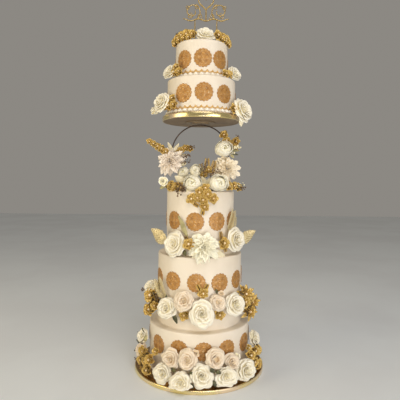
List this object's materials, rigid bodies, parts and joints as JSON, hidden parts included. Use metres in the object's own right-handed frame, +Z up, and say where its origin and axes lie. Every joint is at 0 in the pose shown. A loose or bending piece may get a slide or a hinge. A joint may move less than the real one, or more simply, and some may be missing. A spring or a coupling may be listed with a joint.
{
  "type": "tiered wedding cake",
  "caption": "Tall ivory wedding cake on its gold board, upper tiers raised on a wire hoop, dressed with gold medallions, white roses and gold flowers.",
  "frame": {"origin": "middle of the base board's underside, on the table", "axes": "+Z up through the tiers, the front of the cake faces -Y, +X to the viewer's right"},
  "size_m": [0.406, 0.4179, 1.1571],
  "materials": {
    "icing": "smooth ivory sugar icing with a soft satin sheen",
    "board_foil": "gold foil wrapped round a cake board",
    "hoop_wire": "dark bronze painted wire",
    "topper_gold": "gold glitter sheet",
    "gold_flowers": "antique gold painted petals with pearl centres",
    "white_petals": "ivory white petals, matte and soft",
    "blush_petals": "blush cream petals, matte and soft",
    "medallion_gold": "copper gold dusted sugar lace",
    "pearl": "pearl lustre beads",
    "leaf_gold": "pale gold ribbed leaves",
    "leaf_olive": "dark olive leaves",
    "berries": "dark brown berries on thin twigs"
  },
  "bodies": {
    "root": {"base_board": "board_foil", "upper_board": "board_foil", "tier_1": "icing", "tier_2": "icing", "tier_3": "icing", "tier_4": "icing", "tier_5": "icing", "hoop_foot": "hoop_wire", "hoop_ring": "hoop_wire", "hoop_top": "hoop_wire", "topper": "topper_gold", "crown_rose": "white_petals", "crown_gold_left": "gold_flowers", "crown_gold_right": "gold_flowers", "crown_posy_back": "white_petals", "t5_flowers_left": "white_petals", "t5_flowers_right": "white_petals", "t5_posy_back": "white_petals", "t4_flowers_left": "white_petals", "t4_flowers_right": "white_petals", "t4_posy_back": "white_petals", "hoop_dahlia_left": "white_petals", "hoop_dahlia_right": "white_petals", "hoop_flowers_top": "white_petals", "hoop_spray_left": "gold_flowers", "hoop_rose_right": "white_petals", "hoop_rose_left": "white_petals", "hoop_roses_middle": "white_petals", "hoop_flowers_low_left": "white_petals", "hoop_spray_right": "gold_flowers", "cascade": "gold_flowers", "t3_rose_left": "white_petals", "t3_dahlia": "white_petals", "t3_gold_right": "gold_flowers", "t3_rose_right": "white_petals", "t3_posy_back": "white_petals", "t2_flowers_left": "white_petals", "t2_rose_1": "white_petals", "t2_rose_2": "blush_petals", "t2_rose_3": "white_petals", "t2_rose_4": "blush_petals", "t2_rose_5": "white_petals", "t2_gold_1": "gold_flowers", "t2_gold_2": "gold_flowers", "t2_gold_3": "gold_flowers", "t2_gold_right": "gold_flowers", "t2_posy_back": "white_petals", "base_rose_upper_1": "blush_petals", "base_rose_upper_2": "blush_petals", "base_rose_upper_3": "blush_petals", "base_rose_upper_4": "blush_petals", "base_rose_lower_1": "white_petals", "base_rose_lower_2": "white_petals", "base_rose_lower_3": "white_petals", "base_rose_lower_4": "white_petals", "base_rose_lower_5": "white_petals", "base_flowers_left": "white_petals", "base_flowers_right": "white_petals", "base_posy_back": "white_petals"}
  },
  "joints": []
}
